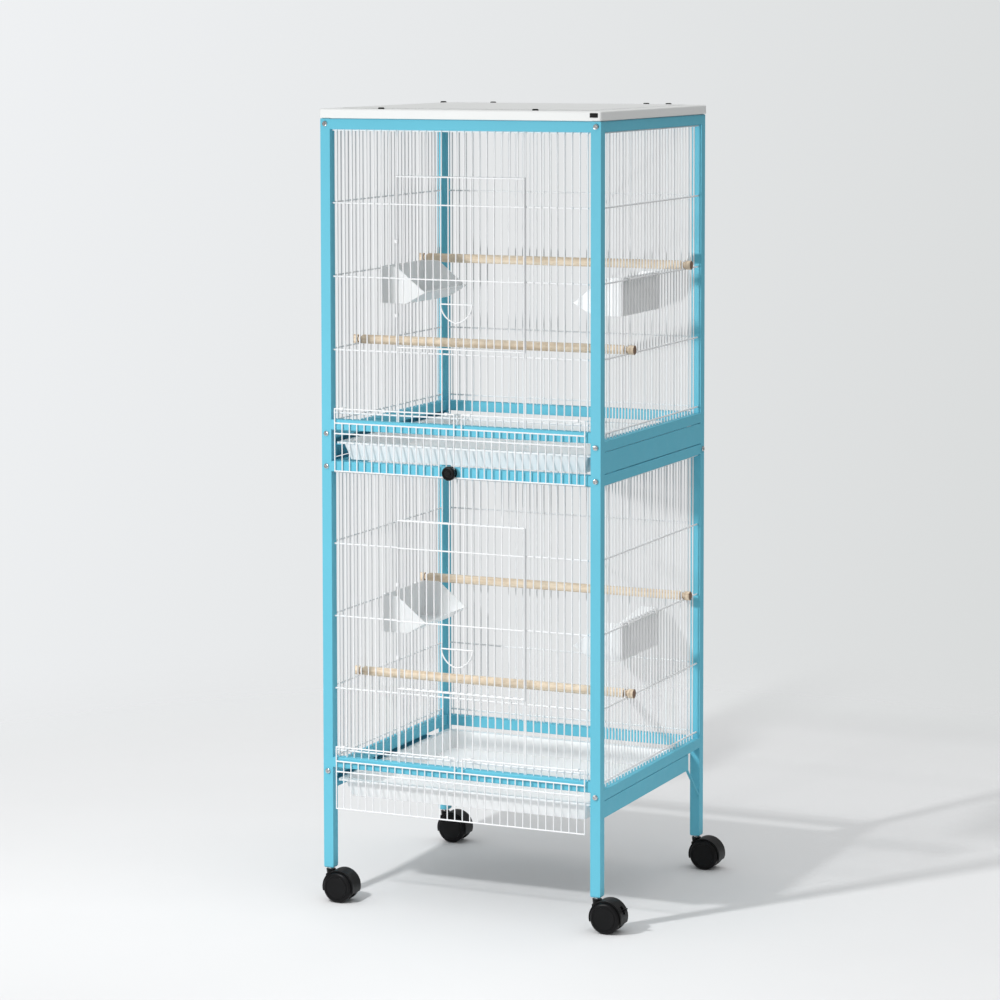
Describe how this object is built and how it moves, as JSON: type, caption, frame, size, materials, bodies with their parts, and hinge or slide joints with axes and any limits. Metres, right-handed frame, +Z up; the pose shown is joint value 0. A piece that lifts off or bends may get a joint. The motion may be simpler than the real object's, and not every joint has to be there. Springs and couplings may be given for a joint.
{
  "type": "bird cage",
  "caption": "Tall stacked bird cage on swivel casters: blue square-tube frame, white wire panels, hinged front doors, pull-out trays behind wire guards, perches and feeders.",
  "frame": {"origin": "on the floor plane under the middle of the whole footprint", "axes": "+Z up, +X to the right of the door side, +Y from the door side to the back"},
  "size_m": [0.5048, 0.4548, 1.2224],
  "materials": {
    "frame_blue": "satin",
    "wire_white": "satin",
    "plastic_white": "satin",
    "lid_white": "satin",
    "perch_wood": "matte",
    "rubber_black": "satin",
    "metal_bright": "polished",
    "knob_black": "gloss"
  },
  "bodies": {
    "frame": {"post_front_left": "frame_blue", "post_front_right": "frame_blue", "post_rear_left": "frame_blue", "post_rear_right": "frame_blue", "front_sill_lower": "frame_blue", "front_head_lower": "frame_blue", "rear_sill_lower": "frame_blue", "rear_head_lower": "frame_blue", "side_sills_lower": "frame_blue", "side_heads_lower": "frame_blue", "side_aprons_lower": "frame_blue", "rear_panel_lower": "wire_white", "left_panel_lower": "wire_white", "right_panel_lower": "wire_white", "front_panel_lower": "wire_white", "perches_lower": "perch_wood", "front_sill_upper": "frame_blue", "front_head_upper": "frame_blue", "rear_sill_upper": "frame_blue", "rear_head_upper": "frame_blue", "side_sills_upper": "frame_blue", "side_heads_upper": "frame_blue", "side_aprons_upper": "frame_blue", "rear_panel_upper": "wire_white", "left_panel_upper": "wire_white", "right_panel_upper": "wire_white", "front_panel_upper": "wire_white", "perches_upper": "perch_wood", "guard_eyes": "wire_white", "leg_braces": "frame_blue", "lid": "lid_white", "lid_rivets": "knob_black", "frame_screws": "metal_bright", "leg_plugs": "frame_blue", "caster_stems": "metal_bright"},
    "door_lower": {"door_lower": "wire_white"},
    "tray_lower": {"tray_lower": "plastic_white"},
    "tray_guard_lower": {"tray_guard_lower": "wire_white"},
    "feeder_left_lower": {"feeder_left_lower": "plastic_white"},
    "feeder_right_lower": {"feeder_right_lower": "plastic_white"},
    "door_upper": {"door_upper": "wire_white"},
    "tray_upper": {"tray_upper": "plastic_white"},
    "tray_guard_upper": {"tray_guard_upper": "wire_white", "guard_knob": "knob_black", "knob_plate": "knob_black"},
    "feeder_left_upper": {"feeder_left_upper": "plastic_white"},
    "feeder_right_upper": {"feeder_right_upper": "plastic_white"},
    "caster_front_left": {"caster_hood_front_left": "rubber_black", "caster_axle_front_left": "metal_bright"},
    "wheels_front_left": {"caster_wheels_front_left": "rubber_black"},
    "caster_front_right": {"caster_hood_front_right": "rubber_black", "caster_axle_front_right": "metal_bright"},
    "wheels_front_right": {"caster_wheels_front_right": "rubber_black"},
    "caster_rear_left": {"caster_hood_rear_left": "rubber_black", "caster_axle_rear_left": "metal_bright"},
    "wheels_rear_left": {"caster_wheels_rear_left": "rubber_black"},
    "caster_rear_right": {"caster_hood_rear_right": "rubber_black", "caster_axle_rear_right": "metal_bright"},
    "wheels_rear_right": {"caster_wheels_rear_right": "rubber_black"},
    "brake_lever": {"brake_lever": "rubber_black"}
  },
  "joints": [
    {"name": "door_lower_swing", "type": "hinge", "parent": "frame", "child": "door_lower", "pos_m": [-0.12233, -0.20995, 0.468], "axis": [0, 0, -1], "range_deg": [0, 115]},
    {"name": "tray_lower_slide", "type": "slide", "parent": "frame", "child": "tray_lower", "axis": [0, -1, 0], "range_m": [0, 0.225]},
    {"name": "tray_guard_lower_swing", "type": "hinge", "parent": "frame", "child": "tray_guard_lower", "pos_m": [-0.01733, -0.21855, 0.242], "axis": [-1, 0, 0], "range_deg": [0, 170]},
    {"name": "feeder_left_lower_lift", "type": "slide", "parent": "frame", "child": "feeder_left_lower", "axis": [0, 0, 1], "range_m": [0, 0.012]},
    {"name": "feeder_right_lower_lift", "type": "slide", "parent": "frame", "child": "feeder_right_lower", "axis": [0, 0, 1], "range_m": [0, 0.012]},
    {"name": "door_upper_swing", "type": "hinge", "parent": "frame", "child": "door_upper", "pos_m": [-0.12233, -0.20995, 0.99], "axis": [0, 0, -1], "range_deg": [0, 115]},
    {"name": "tray_upper_slide", "type": "slide", "parent": "frame", "child": "tray_upper", "axis": [0, -1, 0], "range_m": [0, 0.225]},
    {"name": "tray_guard_upper_swing", "type": "hinge", "parent": "frame", "child": "tray_guard_upper", "pos_m": [-0.01733, -0.21855, 0.764], "axis": [-1, 0, 0], "range_deg": [0, 170]},
    {"name": "feeder_left_upper_lift", "type": "slide", "parent": "frame", "child": "feeder_left_upper", "axis": [0, 0, 1], "range_m": [0, 0.012]},
    {"name": "feeder_right_upper_lift", "type": "slide", "parent": "frame", "child": "feeder_right_upper", "axis": [0, 0, 1], "range_m": [0, 0.012]},
    {"name": "caster_front_left_swivel", "type": "hinge", "parent": "frame", "child": "caster_front_left", "pos_m": [-0.23933, -0.20705, 0.045], "axis": [0, 0, 1], "continuous": true},
    {"name": "wheels_front_left_roll", "type": "hinge", "parent": "caster_front_left", "child": "wheels_front_left", "pos_m": [-0.22133, -0.20705, 0.0235], "axis": [0, 1, 0], "continuous": true},
    {"name": "caster_front_right_swivel", "type": "hinge", "parent": "frame", "child": "caster_front_right", "pos_m": [0.20467, -0.20705, 0.045], "axis": [0, 0, 1], "continuous": true},
    {"name": "wheels_front_right_roll", "type": "hinge", "parent": "caster_front_right", "child": "wheels_front_right", "pos_m": [0.22267, -0.20705, 0.0235], "axis": [0, 1, 0], "continuous": true},
    {"name": "caster_rear_left_swivel", "type": "hinge", "parent": "frame", "child": "caster_rear_left", "pos_m": [-0.23933, 0.20895, 0.045], "axis": [0, 0, 1], "continuous": true},
    {"name": "wheels_rear_left_roll", "type": "hinge", "parent": "caster_rear_left", "child": "wheels_rear_left", "pos_m": [-0.22133, 0.20895, 0.0235], "axis": [0, 1, 0], "continuous": true},
    {"name": "caster_rear_right_swivel", "type": "hinge", "parent": "frame", "child": "caster_rear_right", "pos_m": [0.20467, 0.20895, 0.045], "axis": [0, 0, 1], "continuous": true},
    {"name": "wheels_rear_right_roll", "type": "hinge", "parent": "caster_rear_right", "child": "wheels_rear_right", "pos_m": [0.22267, 0.20895, 0.0235], "axis": [0, 1, 0], "continuous": true},
    {"name": "brake_lever_tilt", "type": "hinge", "parent": "caster_front_right", "child": "brake_lever", "pos_m": [0.2393, -0.20705, 0.03161], "axis": [0, -1, 0], "range_deg": [-10, 10]}
  ],
  "couplings": [
    {"joint": "tray_guard_lower_swing", "follows": "tray_lower_slide", "rad_per_m": 13.186},
    {"joint": "tray_guard_upper_swing", "follows": "tray_upper_slide", "rad_per_m": 13.186}
  ]
}
